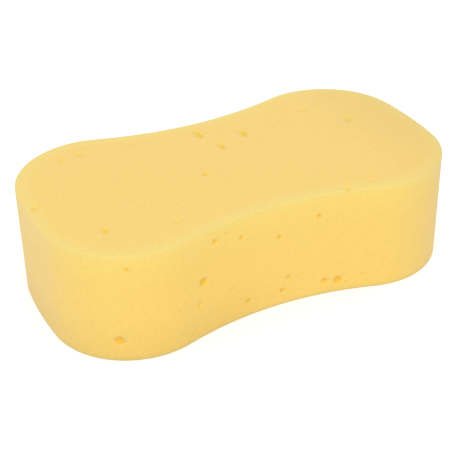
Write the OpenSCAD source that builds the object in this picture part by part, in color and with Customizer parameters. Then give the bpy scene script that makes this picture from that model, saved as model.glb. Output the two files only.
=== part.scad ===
/* [Block] */
// Length of the sponge from end to end
length = 220; // [200:1:240]
// Width across the two lobes
lobe_w = 120; // [112:1:130]
// Width across the waist, where the hand grips it
waist_w = 99; // [84:1:108]
// Height of the block
height = 60; // [40:1:70]

/* [Outline] */
// Radius of the four corners
corner_r = 43; // [36:0.5:46]
// Radius of the shallow curve across each end
end_r = 230; // [180:2:400]
// Rounding of the cut edges round the top and the bottom
edge_r = 1; // [0.5:0.1:3]

/* [Pores] */
// Width of the large pores, against the width that each one has by default
pore_size = 1; // [0.7:0.1:1.3]
// How much longer than wide the bubbles in the foam are, across the width of the sponge
bubble_stretch = 1.3; // [1:0.1:2.4]
// Number of pores along the back
back_pores = 24; // [0:1:32]
// Number of pores in the right end
end_pores = 5; // [0:1:8]
// Number of pores underneath
base_pores = 16; // [0:1:24]

/* [Hidden] */
foam_colour = [0.98, 0.84, 0.51];

// Facets of each curve of the outline, of the edge rounding, and along and round a bubble
end_steps = 8;
corner_steps = 16;
shoulder_steps = 4;
waist_steps = 24;
edge_steps = 3;
bubble_steps = 4;
bubble_sides = 8;

// The outline is a chain of arcs that meet in tangents: end, corner, waist and corner on each long side
corner_y = lobe_w / 2 - corner_r;
corner_x = length / 2 - end_r + sqrt(pow(end_r - corner_r, 2) - pow(corner_y, 2));
corner_drop = waist_w / 2 - corner_y;
waist_r = (pow(corner_x, 2) + pow(corner_drop, 2) - pow(corner_r, 2)) / (lobe_w - waist_w);
waist_y = waist_w / 2 + waist_r;
end_angle = asin(corner_y / (end_r - corner_r));
waist_angle = asin(corner_x / (waist_r + corner_r));
waist_end_x = waist_r * sin(waist_angle);

// Pores are placed on a sponge of this size, and move with the block when it is made larger or smaller
placed_on = [220, 120, 60];
stretch = [length / placed_on.x, lobe_w / placed_on.y, height / placed_on.z];

// Pores on the top: x, y, width and length
top_pores = [
    [-2.5, 36, 2.4, 7],
    [19.5, 26, 2.8, 8],
    [2.5, 18, 2, 4.5],
    [-18.5, -5, 2, 4],
    [-83, -32, 2.4, 5],
    [-106, 3, 2, 3],
    [-78, 43.5, 2.4, 5.5],
    [-67.5, 45, 2.4, 4],
    [62, 35, 2, 5],
    [78, 14, 2.6, 7],
    [37, -52, 2.4, 5],
    [-38.5, 42, 1.4, 3],
    [96, 19, 1.4, 3],
    [52, -51, 1.6, 3],
    [75, -23, 1.4, 3],
    [-60.5, -13, 1.4, 2.5],
    [-50.5, -41, 1.6, 3],
    [7.5, -29, 1.4, 2.5],
    [39, 28, 1.4, 3]
];

// Pores on the front wall: x, z and width
front_pores = [
    [-82.5, 52, 2.5],
    [-36, 51.5, 3],
    [-29.5, 53.5, 1.6],
    [-21, 48, 2.5],
    [-43.5, 32, 4.5],
    [-46, 20.5, 2.5],
    [-50, 21, 1.6],
    [-27, 20, 1.6],
    [-87.5, 23, 1.5],
    [-87.5, 12, 4.5],
    [-81, 13.5, 1.2],
    [-57, 8, 1.5],
    [-17, 9, 3],
    [0.5, 41, 2.5],
    [22, 47.5, 2.8],
    [6, 15.5, 2.5],
    [2.5, 8.5, 3],
    [14, 11.5, 1.4],
    [20, 14.5, 1.2],
    [26, 8, 3.5],
    [33.5, 7, 4.5],
    [46, 8.5, 1.8],
    [93.5, 48, 1.6],
    [48.5, 20.5, 1.2],
    [37.5, 5, 1.3]
];

// How far under the top or the base the middle of a bubble lies, against its width
sunk = 0.12;

// Pores at the back, in the right end and underneath are scattered, by the far decimals of sines,
// within these reaches of the middle and these widths, clear of the edges
scatter_turns = [53, 87, 41];
scatter_w = [1.4, 3.6];
edge_clear = 5;
back_reach = 88;
end_reach = 30;
base_reach = [90, 44];

// Radius round the middle of the base that has no pores
rest_clear = 16;

// Points along an arc, without its last one
function arc(centre, r, from, to, steps) = [
    for (i = [0 : steps - 1])
        let (angle = from + (to - from) * i / steps)
        centre + r * [cos(angle), sin(angle)]
];

// The right end, and the long side at the back up to the start of the left end, drawn in by inset
function half_outline(inset) = concat(
    arc([length / 2 - end_r, 0], end_r - inset, -end_angle, end_angle, end_steps),
    arc([corner_x, corner_y], corner_r - inset, end_angle, 90, corner_steps),
    arc([corner_x, corner_y], corner_r - inset, 90, 90 + waist_angle, shoulder_steps),
    arc([0, waist_y], waist_r + inset, waist_angle - 90, -waist_angle - 90, waist_steps),
    arc([-corner_x, corner_y], corner_r - inset, 90 - waist_angle, 90, shoulder_steps),
    arc([-corner_x, corner_y], corner_r - inset, 90, 180 - end_angle, corner_steps)
);

function outline(inset) =
    let (half = half_outline(inset))
    concat(half, [for (p = half) -p]);

// Half of the width of the block at a given x
function half_width(x) = abs(x) < waist_end_x
    ? waist_y - sqrt(pow(waist_r, 2) - pow(x, 2))
    : corner_y + sqrt(pow(corner_r, 2) - pow(abs(x) - corner_x, 2));

// Distance of the shallow curve of the right end from the middle at a given y
function end_x(y) = length / 2 - end_r + sqrt(pow(end_r, 2) - pow(y, 2));

// Three numbers between 0 and 1 for the place and width of a scattered pore
function spread(i) = [for (turn = scatter_turns) (1000 * sin(i * turn) + 1000) % 1];
function scattered_width(share) = scatter_w[0] + (scatter_w[1] - scatter_w[0]) * pow(share, 2);
function scattered_height(share) = edge_clear + (height - 2 * edge_clear) * share;

// How far the outline is drawn in, and how high it lies, at each ring of the two rounded edges
function lower_edge(i) = let (angle = 90 * i / edge_steps) edge_r * [1 - sin(angle), 1 - cos(angle)];
function upper_edge(i) = let (low = lower_edge(edge_steps - i)) [low.x, height - low.y];

// A skin drawn over a stack of outlines, closed by a fan of facets at each end
module block() {
    rings = concat(
        [for (i = [0 : edge_steps]) lower_edge(i)],
        [for (i = [0 : edge_steps]) upper_edge(i)]
    );
    around = len(outline(0));
    last_ring = len(rings) - 1;
    base_centre = len(rings) * around;
    top_centre = base_centre + 1;
    polyhedron(
        points = [
            for (ring = rings) for (p = outline(ring.x)) [p.x, p.y, ring.y],
            [0, 0, 0],
            [0, 0, height]
        ],
        faces = [
            for (ring = [0 : last_ring - 1]) for (i = [0 : around - 1])
                let (low = ring * around, high = low + around, j = (i + 1) % around)
                [low + i, high + i, high + j, low + j],
            for (i = [0 : around - 1]) [base_centre, i, (i + 1) % around],
            for (i = [0 : around - 1])
                [top_centre, last_ring * around + (i + 1) % around, last_ring * around + i]
        ],
        convexity = 4
    );
}

// A bubble of the foam, round across x and z and drawn out along y, that a cut face opens as a pore
module bubble(width, long) {
    half = pore_size / 2 * [width, long];
    rotate([-90, 0, 0]) rotate_extrude($fn = bubble_sides) polygon([
        for (i = [0 : bubble_steps])
            let (angle = 180 * i / bubble_steps - 90)
            [max(0, half.x * cos(angle)), half.y * sin(angle)]
    ]);
}

module pores_on_top() {
    for (p = top_pores)
        let (width = p[2], long = p[3])
        translate([p.x * stretch.x, p.y * stretch.y, height - sunk * width]) bubble(width, long);
}

module pores_in_front() {
    for (p = front_pores)
        let (x = p.x * stretch.x, width = p[2])
        translate([x, -half_width(x), p.y * stretch.z]) bubble(width, width * bubble_stretch);
}

module pores_at_the_back() {
    for (i = [1 : 1 : back_pores])
        let (
            share = spread(i),
            x = back_reach * (2 * share[0] - 1) * stretch.x,
            width = scattered_width(share[2])
        )
        translate([x, half_width(x), scattered_height(share[1])]) bubble(width, width * bubble_stretch);
}

module pores_in_the_right_end() {
    for (i = [1 : 1 : end_pores])
        let (
            share = spread(i + 40),
            y = end_reach * (2 * share[0] - 1) * stretch.y,
            width = scattered_width(share[2])
        )
        translate([end_x(y), y, scattered_height(share[1])]) bubble(width, width * bubble_stretch);
}

module pores_underneath() {
    for (i = [1 : 1 : base_pores])
        let (
            share = spread(i + 60),
            x = base_reach.x * (2 * share[0] - 1) * stretch.x,
            y = base_reach.y * (2 * share[1] - 1) * stretch.y,
            width = scattered_width(share[2])
        )
        if (norm([x, y]) > rest_clear)
            translate([x, y, sunk * width]) bubble(width, width * bubble_stretch);
}

module sponge() {
    color(foam_colour)
        difference() {
            block();
            pores_on_top();
            pores_in_front();
            pores_at_the_back();
            pores_in_the_right_end();
            pores_underneath();
        }
}

sponge();
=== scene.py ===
import math

import bpy
import numpy as np
from mathutils import Matrix, Vector


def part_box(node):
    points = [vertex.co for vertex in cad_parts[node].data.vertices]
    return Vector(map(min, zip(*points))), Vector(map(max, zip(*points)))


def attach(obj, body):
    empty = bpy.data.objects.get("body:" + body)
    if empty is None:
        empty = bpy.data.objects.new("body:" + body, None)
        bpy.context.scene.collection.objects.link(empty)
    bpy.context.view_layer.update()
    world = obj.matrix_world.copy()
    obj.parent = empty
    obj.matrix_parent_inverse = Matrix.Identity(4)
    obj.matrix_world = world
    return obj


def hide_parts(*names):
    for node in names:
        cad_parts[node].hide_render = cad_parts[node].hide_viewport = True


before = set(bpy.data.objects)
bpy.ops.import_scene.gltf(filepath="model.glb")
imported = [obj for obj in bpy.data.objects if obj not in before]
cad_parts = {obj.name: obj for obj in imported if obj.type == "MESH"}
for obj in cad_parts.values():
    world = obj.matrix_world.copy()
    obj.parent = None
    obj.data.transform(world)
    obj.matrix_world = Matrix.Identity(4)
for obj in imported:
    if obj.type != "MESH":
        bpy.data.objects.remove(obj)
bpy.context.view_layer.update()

blockLow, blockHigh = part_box("sponge")
mm = 0.001

# Camera, at the place and angle that the photograph was taken from
cameraSetup = {
    "target": (0.01119, 0.03229, 0.0),  # where it points, on the floor
    "azimuth": -25.9,  # degrees
    "elevation": 31.73,
    "roll": -1.136,
    "distance": 0.6366,
    "lens": 88.97,  # mm, on a sensor 36 mm wide
    "clip": (0.01, 20.0),
}


def makeCamera(setup):
    azimuth, elevation, roll = (math.radians(setup[k]) for k in ("azimuth", "elevation", "roll"))
    back = Vector((
        math.sin(azimuth) * math.cos(elevation),
        -math.cos(azimuth) * math.cos(elevation),
        math.sin(elevation),
    ))
    right = (-back).cross(Vector((0, 0, 1))).normalized()
    up = right.cross(-back)
    rolledRight = right * math.cos(roll) + up * math.sin(roll)
    rolledUp = up * math.cos(roll) - right * math.sin(roll)
    camera = bpy.data.objects.new("camera", bpy.data.cameras.new("camera"))
    camera.data.lens = setup["lens"]
    camera.data.clip_start, camera.data.clip_end = setup["clip"]
    turn = Matrix((rolledRight, rolledUp, back)).transposed().to_4x4()
    camera.matrix_world = Matrix.Translation(Vector(setup["target"]) + back * setup["distance"]) @ turn
    bpy.context.scene.collection.objects.link(camera)
    bpy.context.scene.camera = camera
    print("camera set")


# Helpers for node trees. An input is named with _ for a space, and takes a value or another node's output
def addNode(tree, kind, settings=None, **inputs):
    node = tree.nodes.new(kind)
    for name, value in (settings or {}).items():
        setattr(node, name, value)
    for name, value in inputs.items():
        setInput(tree, node, name.replace("_", " "), value)
    return node


def setInput(tree, node, name, value):
    socket = node.inputs[name]
    if isinstance(value, bpy.types.NodeSocket):
        tree.links.new(value, socket)
    else:
        socket.default_value = value


def mathNode(tree, operation, *values):
    node = addNode(tree, "ShaderNodeMath", {"operation": operation})
    for i, value in enumerate(values):
        setInput(tree, node, i, value)
    return node.outputs[0]


def scaled(tree, vector, factor):
    node = addNode(tree, "ShaderNodeVectorMath", {"operation": "SCALE"}, Vector=vector, Scale=factor)
    return node.outputs[0]


# Runs from first to last while the value runs from start to end, and stays level outside them
def fade(tree, value, start, end, first=1.0, last=0.0, smooth=False):
    kind = "SMOOTHSTEP" if smooth else "LINEAR"
    node = addNode(tree, "ShaderNodeMapRange", {"interpolation_type": kind}, Value=value,
                   From_Min=start, From_Max=end, To_Min=first, To_Max=last)
    return node.outputs[0]


# A mix node has its two colours at inputs 6 and 7, and gives a colour at output 2
def mixColours(tree, share, first, second):
    mix = addNode(tree, "ShaderNodeMix", {"data_type": "RGBA"})
    setInput(tree, mix, 0, share)
    setInput(tree, mix, 6, first)
    setInput(tree, mix, 7, (*second, 1))
    return mix.outputs[2]


def setAttribute(mesh, name, values):
    kind, field = ("FLOAT_VECTOR", "vector") if values.ndim == 2 else ("FLOAT", "value")
    attribute = mesh.attributes.new(name, kind, "POINT")
    attribute.data.foreach_set(field, values.ravel().astype(np.float32))


# The block: its outline is a chain of arcs, drawn up into upright walls with softened edges
blockShape = {
    "waist": 0.099,  # width across the middle
    "cornerRadius": 0.043,
    "endRadius": 0.23,
    "edgeRadius": 0.001,
    "endSteps": 12,
    "cornerSteps": 28,
    "shoulderSteps": 8,
    "waistSteps": 40,
    "edgeSteps": 5,
    "nearEdge": (0.0025, 0.004, 0.006, 0.009),  # rings at these distances in from each edge
    "wallStep": 0.0025,
    "capStep": 0.003,
    "sharpAngle": 38,  # degrees between faces from which an edge shows, as at the mouth of a pore
}


def arcPoints(centre, radius, start, end, steps):
    angles = np.radians(start + (end - start) * np.arange(steps) / steps)
    return np.array(centre) + radius * np.column_stack((np.cos(angles), np.sin(angles)))


# The right end and the long side at the back, and then the same turned half round
def blockOutline(shape, inset):
    length, width = blockHigh.x - blockLow.x, blockHigh.y - blockLow.y
    cornerRadius, endRadius = shape["cornerRadius"], shape["endRadius"]
    cornerY = width / 2 - cornerRadius
    cornerX = length / 2 - endRadius + math.sqrt((endRadius - cornerRadius) ** 2 - cornerY**2)
    drop = shape["waist"] / 2 - cornerY
    waistRadius = (cornerX**2 + drop**2 - cornerRadius**2) / (width - shape["waist"])
    waistY = shape["waist"] / 2 + waistRadius
    endAngle = math.degrees(math.asin(cornerY / (endRadius - cornerRadius)))
    waistAngle = math.degrees(math.asin(cornerX / (waistRadius + cornerRadius)))
    corner, shoulder = shape["cornerSteps"], shape["shoulderSteps"]
    convex = cornerRadius - inset
    half = np.vstack((
        arcPoints((length / 2 - endRadius, 0), endRadius - inset, -endAngle, endAngle, shape["endSteps"]),
        arcPoints((cornerX, cornerY), convex, endAngle, 90, corner),
        arcPoints((cornerX, cornerY), convex, 90, 90 + waistAngle, shoulder),
        arcPoints((0, waistY), waistRadius + inset, waistAngle - 90, -waistAngle - 90, shape["waistSteps"]),
        arcPoints((-cornerX, cornerY), convex, 90 - waistAngle, 90, shoulder),
        arcPoints((-cornerX, cornerY), convex, 90, 180 - endAngle, corner),
    ))
    return np.vstack((half, -half))


# Outlines with their heights, from near the middle of the base, up the walls, to near the middle of the top
def blockRings(shape):
    height, edge = blockHigh.z - blockLow.z, shape["edgeRadius"]
    nearEdge = shape["nearEdge"]
    innermost = blockOutline(shape, nearEdge[-1])
    reach = np.hypot(*innermost.T).min()
    capRings = int(reach / shape["capStep"])
    lower = [(innermost * i / capRings, 0.0) for i in range(1, capRings)]
    lower += [(blockOutline(shape, inset), 0.0) for inset in reversed(nearEdge)]
    for i in range(shape["edgeSteps"] + 1):
        angle = math.pi / 2 * i / shape["edgeSteps"]
        lower.append((blockOutline(shape, edge * (1 - math.sin(angle))), edge * (1 - math.cos(angle))))
    outer = blockOutline(shape, 0)
    lower += [(outer, rise) for rise in nearEdge]
    upper = [(points, height - z) for points, z in reversed(lower)]
    span = height - 2 * nearEdge[-1]
    steps = round(span / shape["wallStep"])
    middle = [(outer, nearEdge[-1] + span * i / steps) for i in range(1, steps)]
    return lower + middle + upper


def makeBlock(shape, foam):
    rings = blockRings(shape)
    around = len(rings[0][0])
    low, high = blockLow.z, blockHigh.z
    points = np.vstack([np.column_stack((ring, np.full(around, low + z))) for ring, z in rings])
    points = np.vstack((points, [[0, 0, low], [0, 0, high]]))
    i = np.arange(around)
    j = (i + 1) % around
    faces = []
    for ring in range(len(rings) - 1):
        start = ring * around
        faces += np.column_stack((start + i, start + j, start + around + j, start + around + i)).tolist()
    lastRing = (len(rings) - 1) * around
    baseCentre, topCentre = len(points) - 2, len(points) - 1
    faces += np.column_stack((np.full(around, baseCentre), j, i)).tolist()
    faces += np.column_stack((np.full(around, topCentre), lastRing + i, lastRing + j)).tolist()
    mesh = bpy.data.meshes.new("foamBlock")
    mesh.from_pydata(points.tolist(), [], faces)
    mesh.update()
    mesh.materials.append(foam)
    block = bpy.data.objects.new("foamBlock", mesh)
    bpy.context.scene.collection.objects.link(block)
    print("block drawn:", len(faces), "faces")
    return block


# Pores: the larger bubbles that the cuts opened, drawn out across the width of the sponge, and small ones
poreSettings = {
    "top": (  # x, y, width and length in mm
        (-2.5, 36, 3.2, 8), (19.5, 26, 2.8, 8), (2.5, 18, 2.6, 5.5), (-18.5, -5, 2, 4), (-83, -32, 2.4, 5),
    ),
    "shallowTop": (
        (-106, 3, 2.8, 4), (-78, 43.5, 2.4, 5.5), (-67.5, 45, 2.4, 4), (37, -52, 2.6, 5), (62, 35, 2, 5),
        (78, 14, 2.6, 7), (-38.5, 42, 1.4, 3), (96, 19, 1.4, 3), (52, -51, 1.6, 3), (75, -23, 1.4, 3),
        (-60.5, -13, 1.4, 2.5), (-50.5, -41, 1.6, 3), (7.5, -29, 1.4, 2.5), (39, 28, 1.4, 3),
    ),
    "front": (  # x, z and width in mm
        (-82.5, 52, 2.5), (-36, 51.5, 3), (-29.5, 53.5, 1.6), (-21, 48, 2.5), (-43.5, 32, 4.5),
        (-87.5, 12, 4.5), (-17, 9, 3), (0.5, 41, 2.5), (22, 47.5, 2.8), (6, 15.5, 2.5), (2.5, 8.5, 3),
        (26, 8, 3.5), (33.5, 7, 4.5), (37.5, 5, 1.3),
    ),
    "shallowFront": (
        (-46, 20.5, 2.5), (-50, 21, 1.6), (-27, 20, 1.6), (-87.5, 23, 1.6), (-81, 13.5, 1.2), (-57, 8, 1.6),
        (14, 11.5, 1.4), (20, 14.5, 1.2), (46, 8.5, 1.8), (93.5, 48, 1.6), (48.5, 20.5, 1.2),
    ),
    "shallow": (0.65, 0.8),  # share of a bubble's size left in a shallow pore of the top and of the walls
    "scattered": {  # on the sides that the photograph doesn't show, in mm
        "back": {"count": 24, "reach": 88, "after": 0},  # reach from the middle, and draws left out before
        "end": {"count": 5, "reach": 30, "after": 40},
        "base": {"count": 16, "reach": (90, 44), "after": 60, "clear": 16},  # clear radius at the middle
        "turns": (53, 87, 41),  # degrees of turn that the sines step by
        "widths": (1.4, 3.6),
        "edgeClear": 5,
    },
    "stretch": 1.3,  # length of a bubble against its width
    "sunk": 0.12,  # depth of its middle under the top or the base, against its width,
    "lifted": 0.1,  # and how far outside the walls it lies there
    "topMouth": (3.3, 1.41),  # size of the ball that widens the mouth of a pore, against its bubble,
    "wallMouth": (2.5, 1.03),  # and how far outside the foam its middle lies
    "bubbleDetail": 4,  # subdivisions of a large bubble
    "small": {
        "density": 7000.0,  # most of them on a square metre
        "spacing": 0.0045,
        "widths": (0.3, 0.8),  # mm
        "skew": 3.0,  # the higher, the fewer of them are wide
        "seed": 5,
        "detail": 2,
    },
    "ragged": 0.00022,  # how far a bubble's wall strays from round
    "raggedScale": 500.0,
    "uneven": 0.00018,  # how far the cut faces stray from flat
    "unevenScale": 55.0,
    "flatBelow": 0.002,  # height up to which they don't, because the sponge lies on its base
}


# Numbers between 0 and 1 for the place and width of a scattered pore, from the far decimals of sines
def farDecimals(number, turns):
    return [(1000 * math.sin(math.radians(number * turn)) + 1000) % 1 for turn in turns]


# Place and width of each pore on the back, the right end and the base
def scatteredPores(scatter, wallY, endX, height):
    least, most = scatter["widths"]
    clear = scatter["edgeClear"]

    def draws(side):
        for number in range(side["after"] + 1, side["after"] + side["count"] + 1):
            first, second, size = farDecimals(number, scatter["turns"])
            yield first, second, least + (most - least) * size**2

    def rise(share):
        return clear + (height - 2 * clear) * share

    back, end, base = (scatter[name] for name in ("back", "end", "base"))
    pores = []
    for across, up, width in draws(back):
        x = back["reach"] * (2 * across - 1)
        pores.append((x, wallY(x), rise(up), width))
    for across, up, width in draws(end):
        y = end["reach"] * (2 * across - 1)
        pores.append((endX(y), y, rise(up), width))
    for *shares, width in draws(base):
        x, y = (reach * (2 * share - 1) for reach, share in zip(base["reach"], shares))
        if math.hypot(x, y) > base["clear"]:
            pores.append((x, y, 0.0, width))
    return pores


# Directions out of the block at points on its walls, its top and its base
def outwardsAt(points, outline, height):
    along = np.roll(outline, -1, 0) - outline
    middles = (outline + np.roll(outline, -1, 0)) / 2
    wallOut = np.column_stack((along[:, 1], -along[:, 0], np.zeros(len(along))))
    wallOut /= np.hypot(*along.T)[:, None]
    nearest = np.hypot(*(points[:, None, :2] - middles).transpose(2, 0, 1)).argmin(1)
    out = wallOut[nearest]
    out[points[:, 2] == height] = 0, 0, 1
    out[points[:, 2] == 0] = 0, 0, -1
    return out


# Every large pore: the middle of its bubble, its size, and its mouth
def placedPores(settings, shape):
    height = blockHigh.z / mm
    outline = blockOutline(shape, 0) / mm
    back = outline[outline[:, 1] > 0]
    back = back[np.argsort(back[:, 0])]
    end = outline[outline[:, 0] > 0]
    end = end[np.argsort(end[:, 1])]

    def wallY(x):
        return np.interp(x, back[:, 0], back[:, 1])

    def endX(y):
        return np.interp(y, end[:, 1], end[:, 0])

    stretch = settings["stretch"]
    topShare, wallShare = settings["shallow"]
    pores = []
    for name, share in (("top", 1.0), ("shallowTop", topShare)):
        pores += [(x, y, height, width, long, share) for x, y, width, long in settings[name]]
    for name, share in (("front", 1.0), ("shallowFront", wallShare)):
        pores += [(x, -wallY(x), z, width, width * stretch, share) for x, z, width in settings[name]]
    for x, y, z, width in scatteredPores(settings["scattered"], wallY, endX, height):
        pores.append((x, y, z, width, width * stretch, 1.0))
    pores = np.array(pores)

    out = outwardsAt(pores[:, :3], outline, height)
    size = pores[:, [3, 4, 3]]
    sunk = out * size * (-settings["lifted"], -settings["lifted"], settings["sunk"])
    mouths = np.where(out[:, 2:] == 1, settings["topMouth"], settings["wallMouth"])
    shift = sunk + out * size * mouths[:, 1:]
    return {
        "place": (pores[:, :3] - sunk) * mm,
        "poreWidth": pores[:, 3] * mm,
        "poreLength": pores[:, 4] * mm,
        "poreShare": pores[:, 5],
        "mouthSize": mouths[:, 0],
        "mouthShift": shift * mm,
    }


def makePoreSpots(settings, shape):
    pores = placedPores(settings, shape)
    places = pores.pop("place")
    mesh = bpy.data.meshes.new("poreSpots")
    mesh.from_pydata(places.tolist(), [], [])
    for name, values in pores.items():
        setAttribute(mesh, name, values)
    spots = bpy.data.objects.new("poreSpots", mesh)
    bpy.context.scene.collection.objects.link(spots)
    print("pores placed:", len(places))
    return spots


def readAttribute(tree, name, kind="FLOAT"):
    return addNode(tree, "GeometryNodeInputNamedAttribute", {"data_type": kind}, Name=name).outputs[0]


# The cut faces wander a little, apart from the one that the sponge lies on
def unevenBlock(tree, given, settings):
    position = addNode(tree, "GeometryNodeInputPosition").outputs[0]
    normal = addNode(tree, "GeometryNodeInputNormal").outputs[0]
    height = addNode(tree, "ShaderNodeSeparateXYZ", Vector=position).outputs["Z"]
    wander = addNode(tree, "ShaderNodeTexNoise", Vector=position, Scale=given["Uneven scale"], Detail=2.0)
    centred = mathNode(tree, "SUBTRACT", wander.outputs[0], 0.5)
    shift = scaled(tree, normal, mathNode(tree, "MULTIPLY", centred, given["Uneven"]))
    raised = mathNode(tree, "GREATER_THAN", height, settings["flatBelow"])
    block = addNode(tree, "GeometryNodeSetPosition", Geometry=given["Geometry"],
                    Selection=raised, Offset=shift)
    return block.outputs[0]


# One bubble at each placed spot, and a larger ball above it that widens its mouth by a shallow cut
def placedBubbles(tree, given, settings):
    spots = addNode(tree, "GeometryNodeObjectInfo", Object=given["Spots"]).outputs["Geometry"]
    width, length = readAttribute(tree, "poreWidth"), readAttribute(tree, "poreLength")
    size = addNode(tree, "ShaderNodeCombineXYZ", X=width, Y=length, Z=width).outputs[0]
    ball = addNode(tree, "GeometryNodeMeshIcoSphere", Radius=0.5, Subdivisions=settings["bubbleDetail"])
    large = addNode(tree, "GeometryNodeInstanceOnPoints", Points=spots, Instance=ball.outputs[0],
                    Scale=scaled(tree, size, readAttribute(tree, "poreShare")))
    shift = readAttribute(tree, "mouthShift", "FLOAT_VECTOR")
    above = addNode(tree, "GeometryNodeSetPosition", Geometry=spots, Offset=shift)
    mouths = addNode(tree, "GeometryNodeInstanceOnPoints", Points=above.outputs[0], Instance=ball.outputs[0],
                     Scale=scaled(tree, size, readAttribute(tree, "mouthSize")))
    return large.outputs[0], mouths.outputs[0]


# Small bubbles all over the block, most of them near the least width
def smallBubbles(tree, given, block, small):
    scatter = addNode(tree, "GeometryNodeDistributePointsOnFaces", {"distribute_method": "POISSON"},
                      Mesh=block, Distance_Min=given["Small spacing"],
                      Density_Max=given["Small density"], Seed=given["Seed"])
    draw = addNode(tree, "FunctionNodeRandomValue", {"data_type": "FLOAT"}, Seed=given["Seed"])
    skewed = mathNode(tree, "POWER", draw.outputs[1], small["skew"])
    width = fade(tree, skewed, 0.0, 1.0, given["Small least"], given["Small most"])
    length = mathNode(tree, "MULTIPLY", width, given["Stretch"])
    size = addNode(tree, "ShaderNodeCombineXYZ", X=width, Y=length, Z=width)
    ball = addNode(tree, "GeometryNodeMeshIcoSphere", Radius=0.5, Subdivisions=small["detail"])
    return addNode(tree, "GeometryNodeInstanceOnPoints", Points=scatter.outputs["Points"],
                   Instance=ball.outputs[0], Scale=size.outputs[0]).outputs[0]


# The bubbles as one mesh, none of them quite round
def raggedBubbles(tree, given, bubbles, settings):
    joined = tree.nodes.new("GeometryNodeJoinGeometry")
    for part in bubbles:
        tree.links.new(part, joined.inputs[0])
    real = addNode(tree, "GeometryNodeRealizeInstances", Geometry=joined.outputs[0])
    position = addNode(tree, "GeometryNodeInputPosition").outputs[0]
    strayed = addNode(tree, "ShaderNodeTexNoise", Vector=position,
                      Scale=settings["raggedScale"], Detail=1.0)
    centred = addNode(tree, "ShaderNodeVectorMath", {"operation": "SUBTRACT"})
    setInput(tree, centred, 0, strayed.outputs["Color"])
    setInput(tree, centred, 1, (0.5, 0.5, 0.5))
    stray = scaled(tree, centred.outputs[0], given["Ragged"])
    return addNode(tree, "GeometryNodeSetPosition", Geometry=real.outputs[0], Offset=stray).outputs[0]


def poreTree(settings):
    tree = bpy.data.node_groups.new("openPores", "GeometryNodeTree")
    tree.interface.new_socket("Geometry", in_out="OUTPUT", socket_type="NodeSocketGeometry")
    for kind, names in (
        ("Geometry", ("Geometry",)),
        ("Object", ("Spots",)),
        ("Float", ("Uneven", "Uneven scale", "Ragged", "Stretch")),
        ("Float", ("Small spacing", "Small density", "Small least", "Small most")),
        ("Int", ("Seed",)),
        ("Material", ("Foam",)),
    ):
        for name in names:
            tree.interface.new_socket(name, in_out="INPUT", socket_type="NodeSocket" + kind)
    given = tree.nodes.new("NodeGroupInput").outputs
    block = unevenBlock(tree, given, settings)
    large, mouths = placedBubbles(tree, given, settings)
    small = smallBubbles(tree, given, block, settings["small"])
    bubbles = raggedBubbles(tree, given, (small, mouths, large), settings)

    # each bubble is cut from the block as a solid of its own, because they overlap
    island = addNode(tree, "GeometryNodeInputMeshIsland").outputs["Island Index"]
    apart = addNode(tree, "GeometryNodeSplitToInstances", {"domain": "FACE"},
                    Geometry=bubbles, Group_ID=island)
    cut = addNode(tree, "GeometryNodeMeshBoolean", {"operation": "DIFFERENCE", "solver": "MANIFOLD"},
                  Mesh_1=block, Mesh_2=apart.outputs[0])
    whole = addNode(tree, "GeometryNodeRealizeInstances", Geometry=cut.outputs[0])
    finished = addNode(tree, "GeometryNodeSetMaterial", Geometry=whole.outputs[0], Material=given["Foam"])
    result = tree.nodes.new("NodeGroupOutput")
    tree.links.new(finished.outputs[0], result.inputs[0])
    return tree


def cutPores(block, spots, settings, foam):
    modifier = block.modifiers.new("pores", "NODES")
    modifier.node_group = poreTree(settings)
    small = settings["small"]
    values = {
        "Spots": spots, "Uneven": settings["uneven"], "Uneven scale": settings["unevenScale"],
        "Ragged": settings["ragged"], "Small spacing": small["spacing"], "Small density": small["density"],
        "Small least": small["widths"][0] * mm, "Small most": small["widths"][1] * mm,
        "Stretch": settings["stretch"], "Seed": small["seed"], "Foam": foam,
    }
    for item in modifier.node_group.interface.items_tree:
        if item.in_out == "INPUT" and item.name in values:
            modifier[item.identifier] = values[item.name]
    graph = bpy.context.evaluated_depsgraph_get()
    graph.update()
    mesh = bpy.data.meshes.new_from_object(block.evaluated_get(graph), depsgraph=graph)
    mesh.name = "spongeFoam"
    sponge = bpy.data.objects.new("sponge.foam", mesh)
    bpy.context.scene.collection.objects.link(sponge)
    bpy.data.objects.remove(block)  # its modifier goes with it
    bpy.data.objects.remove(spots)
    print("pores cut:", len(mesh.vertices), "points,", len(mesh.polygons), "faces")
    return sponge


# How far in from the walls each point lies, and how deep in a pore, for the material
def markPlaces(sponge, shape):
    mesh = sponge.data
    points = np.zeros(len(mesh.vertices) * 3, np.float32)
    mesh.vertices.foreach_get("co", points)
    points = points.reshape(-1, 3).astype(float)
    outline = blockOutline(shape, 0)
    fromWall = np.full(len(points), np.inf)
    for corner, side in zip(outline, np.roll(outline, -1, 0) - outline):
        offset = points[:, :2] - corner
        along = np.clip(offset @ side / (side @ side), 0, 1)
        fromWall = np.minimum(fromWall, np.hypot(*(offset - along[:, None] * side).T))
    fromFace = np.minimum(blockHigh.z - points[:, 2], points[:, 2] - blockLow.z)
    edge = shape["edgeRadius"]
    rounded = edge - np.hypot(edge - fromWall, edge - fromFace)
    flat = np.minimum(fromWall, fromFace)
    depth = np.where(np.maximum(fromWall, fromFace) < edge, rounded, flat)
    setAttribute(mesh, "fromWall", fromWall)
    setAttribute(mesh, "poreDepth", depth)
    mesh.shade_smooth()
    mesh.set_sharp_from_angle(angle=math.radians(shape["sharpAngle"]))
    print("places marked")


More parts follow.
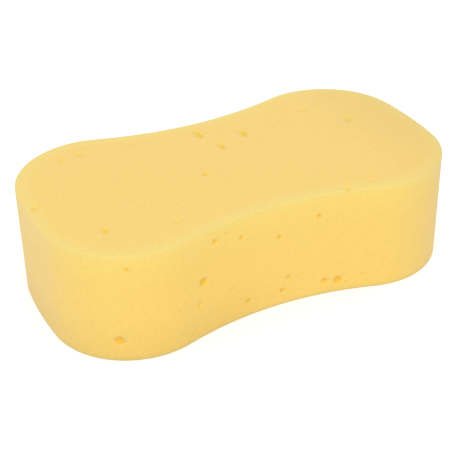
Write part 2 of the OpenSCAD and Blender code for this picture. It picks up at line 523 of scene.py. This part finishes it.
# Foam: soft and matt, with colours that stand for the light that wanders inside it
foamLook = {
    "colour": (0.94, 0.648, 0.151),
    # painted shade: the walls round the waist a little darker and deeper in colour, for how light falls
    # there
    "waist": {"colour": (0.938, 0.638, 0.138), "middle": -0.045, "reach": (0.01, 0.05)},
    # painted light: a slightly less yellow tint on the top face, for how light falls on it
    "top": {"colour": (0.94, 0.645, 0.155), "down": 0.003},
    "edges": (  # painted light along the upper edge: a broad glow of light that wanders through the foam there, and a narrow band of painted shade on the arris, with how far inwards and down they reach
        {"colour": (0.942, 0.685, 0.163), "inwards": 0.012, "down": 0.02},
        {"colour": (0.905, 0.695, 0.195), "inwards": 0.0085, "down": 0.0055},
        {"colour": (0.875, 0.66, 0.195), "inwards": 0.0015, "down": 0.0015},
    ),
    "edgeFall": 1.4,  # the higher, the closer they keep to the edge
    "contactShadow": {"colour": (0.80, 0.60, 0.165), "up": 0.0035},  # painted contact shadow along the foot of the walls
    "wallPoreShade": {"colour": (0.90, 0.595, 0.055), "depths": (0.0003, 0.0017)},  # painted shade inside the pores, fading in with depth
    "topPoreShade": {"colour": (0.875, 0.635, 0.09), "depths": (0.0001, 0.0012), "under": (0.003, 0.0045)},
    "wallEnd": (0.001, 0.004),  # distance in from the walls over which the painted shades at their foot fade out
    # painted shade: darker towards the right end and low on the left walls, for how light falls off there
    "rightEndShade": {"shade": 0.92, "along": (0.055, 0.115)},  # where along the length it comes in,
    "lowLeftShade": {"shade": 0.92, "along": (-0.04, 0.02), "up": 0.028},  # or goes, and how high it reaches
    "roughness": 0.9,
    "specular": 0.15,
    "sheen": 0.29,
    "sheenRoughness": 0.6,
    "drawnOut": 1.8,  # length of a cell across the sponge, against its width
    "cells": {"size": 0.0012, "smoothness": 0.35, "distances": (0.1, 0.7)},
    "fineCellSize": 0.00045,
    "meanShade": 0.991,
    "grain": {"top": 0.008, "walls": 0.019, "down": 0.003},  # how far a cell's shade strays from it
    "blotches": {"scale": 380.0, "detail": 2.0, "range": (0.3, 0.7), "shades": (0.98, 1.01)},
    "relief": {"fineShare": 0.5, "strength": 0.35, "distance": 0.0002},
}


# What the colours and shades go by: place on the block, and distance from its faces
def foamPlaces(tree, look):
    place = addNode(tree, "ShaderNodeTexCoord").outputs["Object"]
    along, _, height = addNode(tree, "ShaderNodeSeparateXYZ", Vector=place).outputs
    fromWall = addNode(tree, "ShaderNodeAttribute", {"attribute_name": "fromWall"}).outputs["Fac"]
    return {
        "place": place,
        "along": along,
        "height": height,
        "fromTop": mathNode(tree, "SUBTRACT", blockHigh.z, height),
        "fromWall": fromWall,
        "onWall": fade(tree, fromWall, *look["wallEnd"]),
        "depth": addNode(tree, "ShaderNodeAttribute", {"attribute_name": "poreDepth"}).outputs["Fac"],
    }


def foamColour(tree, look, at):
    colour = addNode(tree, "ShaderNodeRGB").outputs[0]
    colour.default_value = (*look["colour"], 1)
    waist, top, contactShadow = look["waist"], look["top"], look["contactShadow"]
    # painted shade round the waist
    aside = mathNode(tree, "ABSOLUTE", mathNode(tree, "SUBTRACT", at["along"], waist["middle"]))
    colour = mixColours(tree, fade(tree, aside, *waist["reach"], smooth=True), colour, waist["colour"])
    # painted light on the top face and the upper 3 mm of the walls
    colour = mixColours(tree, fade(tree, at["fromTop"], 0.0, top["down"]), colour, top["colour"])
    # painted glow of light along the upper edge, and painted shade on the arris itself
    for edge in look["edges"]:
        inwards = mathNode(tree, "DIVIDE", at["fromWall"], edge["inwards"])
        down = mathNode(tree, "DIVIDE", at["fromTop"], edge["down"])
        away = addNode(tree, "ShaderNodeCombineXYZ", X=inwards, Y=down).outputs[0]
        reached = addNode(tree, "ShaderNodeVectorMath", {"operation": "LENGTH"}, Vector=away)
        near = fade(tree, reached.outputs["Value"], 0.0, 1.0)
        colour = mixColours(tree, mathNode(tree, "POWER", near, look["edgeFall"]), colour, edge["colour"])
    # painted contact shadow along the foot of the walls
    low = fade(tree, at["height"], 0.0, contactShadow["up"])
    colour = mixColours(tree, mathNode(tree, "MULTIPLY", low, at["onWall"]), colour, contactShadow["colour"])
    # painted shade inside the pores, growing with depth
    underTop = fade(tree, at["fromTop"], *look["topPoreShade"]["under"])
    for pores, part in ((look["wallPoreShade"], 1.0), (look["topPoreShade"], underTop)):
        inside = fade(tree, at["depth"], *pores["depths"], 0.0, 1.0)
        colour = mixColours(tree, mathNode(tree, "MULTIPLY", inside, part), colour, pores["colour"])
    return colour


# Painted shade, darker towards the right end and low on the left, with a grain of cells and finer blotches
# over it
def foamShade(tree, look, at, cells):
    rightEndShade, lowLeftShade = look["rightEndShade"], look["lowLeftShade"]
    endShade = fade(tree, at["along"], *rightEndShade["along"], 1.0, rightEndShade["shade"], smooth=True)
    wallShade = fade(tree, at["onWall"], 0.0, 1.0, 1.0, lowLeftShade["shade"])
    footShade = fade(tree, at["along"], *lowLeftShade["along"], wallShade, 1.0, smooth=True)
    lowShade = fade(tree, at["height"], 0.0, lowLeftShade["up"], footShade, 1.0, smooth=True)

    grain, blotches = look["grain"], look["blotches"]
    stray = fade(tree, at["fromTop"], 0.0, grain["down"], grain["top"], grain["walls"])
    cell = fade(tree, cells, *look["cells"]["distances"], -1.0, 1.0)
    cellShade = mathNode(tree, "MULTIPLY_ADD", cell, stray, look["meanShade"])
    noise = addNode(tree, "ShaderNodeTexNoise", Vector=at["place"],
                    Scale=blotches["scale"], Detail=blotches["detail"]).outputs[0]
    blotchShade = fade(tree, noise, *blotches["range"], *blotches["shades"])
    broad = mathNode(tree, "MULTIPLY", endShade, lowShade)
    return mathNode(tree, "MULTIPLY", broad, mathNode(tree, "MULTIPLY", cellShade, blotchShade))


def makeFoam(look):
    material = bpy.data.materials.new("softFoam")
    material.use_nodes = True
    tree = material.node_tree
    tree.nodes.clear()
    at = foamPlaces(tree, look)
    drawn = addNode(tree, "ShaderNodeMapping", Vector=at["place"],
                    Scale=(1.0, 1 / look["drawnOut"], 1.0)).outputs[0]
    cells = addNode(tree, "ShaderNodeTexVoronoi", {"feature": "SMOOTH_F1"}, Vector=drawn,
                    Scale=1 / look["cells"]["size"],
                    Smoothness=look["cells"]["smoothness"]).outputs["Distance"]
    fine = addNode(tree, "ShaderNodeTexVoronoi", {"feature": "F1"}, Vector=drawn,
                   Scale=1 / look["fineCellSize"]).outputs["Distance"]
    colour = scaled(tree, foamColour(tree, look, at), foamShade(tree, look, at, cells))

    relief = look["relief"]
    height = mathNode(tree, "ADD", cells, mathNode(tree, "MULTIPLY", fine, relief["fineShare"]))
    bump = addNode(tree, "ShaderNodeBump", Strength=relief["strength"],
                   Distance=relief["distance"], Height=height)
    shader = addNode(tree, "ShaderNodeBsdfPrincipled", Base_Color=colour, Normal=bump.outputs[0],
                     Roughness=look["roughness"], Specular_IOR_Level=look["specular"],
                     Sheen_Weight=look["sheen"], Sheen_Roughness=look["sheenRoughness"])
    output = tree.nodes.new("ShaderNodeOutputMaterial")
    tree.links.new(shader.outputs[0], output.inputs["Surface"])
    print("foam mixed")
    return material


# Studio: a pale floor, an even white surround and one broad lamp
studio = {
    "surround": 0.785,
    "lamp": {"place": (-0.76, -1.55, 1.81), "size": 1.6, "power": 20.7},
    "floorReach": 6.0,
    "floorColour": 0.85,
    "floorLift": 0.33,  # added to what the camera sees of the floor, so that it shows white
}


def cameraSees(tree):
    path = addNode(tree, "ShaderNodeLightPath").outputs
    seen = mathNode(tree, "MAXIMUM", path["Is Camera Ray"], path["Is Glossy Ray"])
    return mathNode(tree, "MAXIMUM", seen, path["Is Transmission Ray"])


def makeSurround(setup):
    world = bpy.data.worlds.new("surround")
    bpy.context.scene.world = world
    world.use_nodes = True
    tree = world.node_tree
    tree.nodes.clear()
    lit = addNode(tree, "ShaderNodeBackground", Color=(1, 1, 1, 1), Strength=setup["surround"])
    shown = addNode(tree, "ShaderNodeBackground", Color=(1, 1, 1, 1), Strength=1.0)
    mixed = addNode(tree, "ShaderNodeMixShader", Fac=cameraSees(tree))
    tree.links.new(lit.outputs[0], mixed.inputs[1])
    tree.links.new(shown.outputs[0], mixed.inputs[2])
    output = tree.nodes.new("ShaderNodeOutputWorld")
    tree.links.new(mixed.outputs[0], output.inputs[0])


def makeLamp(setup):
    lamp = bpy.data.objects.new("lamp", bpy.data.lights.new("lamp", "AREA"))
    lamp.data.shape = "DISK"
    lamp.data.size = setup["size"]
    lamp.data.energy = setup["power"]
    lamp.location = setup["place"]
    lamp.rotation_euler = Vector(setup["place"]).to_track_quat("Z", "Y").to_euler()
    bpy.context.scene.collection.objects.link(lamp)


def makeFloor(setup):
    paint = bpy.data.materials.new("floorPaint")
    paint.use_nodes = True
    tree = paint.node_tree
    tree.nodes.clear()
    level = setup["floorColour"]
    matt = addNode(tree, "ShaderNodeBsdfDiffuse", Color=(level, level, level, 1))
    lift = mathNode(tree, "MULTIPLY", cameraSees(tree), setup["floorLift"])
    glow = addNode(tree, "ShaderNodeEmission", Color=(1, 1, 1, 1), Strength=lift)
    both = tree.nodes.new("ShaderNodeAddShader")
    tree.links.new(matt.outputs[0], both.inputs[0])
    tree.links.new(glow.outputs[0], both.inputs[1])
    output = tree.nodes.new("ShaderNodeOutputMaterial")
    tree.links.new(both.outputs[0], output.inputs["Surface"])

    mesh = bpy.data.meshes.new("floor")
    reach = setup["floorReach"]
    corners = [(-reach, -reach, 0), (reach, -reach, 0), (reach, reach, 0), (-reach, reach, 0)]
    mesh.from_pydata(corners, [], [(0, 1, 2, 3)])
    mesh.materials.append(paint)
    floor = bpy.data.objects.new("floor", mesh)
    bpy.context.scene.collection.objects.link(floor)


def makeStudio(setup):
    makeSurround(setup)
    makeLamp(setup["lamp"])
    makeFloor(setup)
    print("studio lit")


bpy.context.scene.view_settings.view_transform = "Standard"
makeCamera(cameraSetup)
makeStudio(studio)
foam = makeFoam(foamLook)
block = makeBlock(blockShape, foam)
spots = makePoreSpots(poreSettings, blockShape)
sponge = cutPores(block, spots, poreSettings, foam)
markPlaces(sponge, blockShape)

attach(sponge, "root")
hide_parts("sponge")
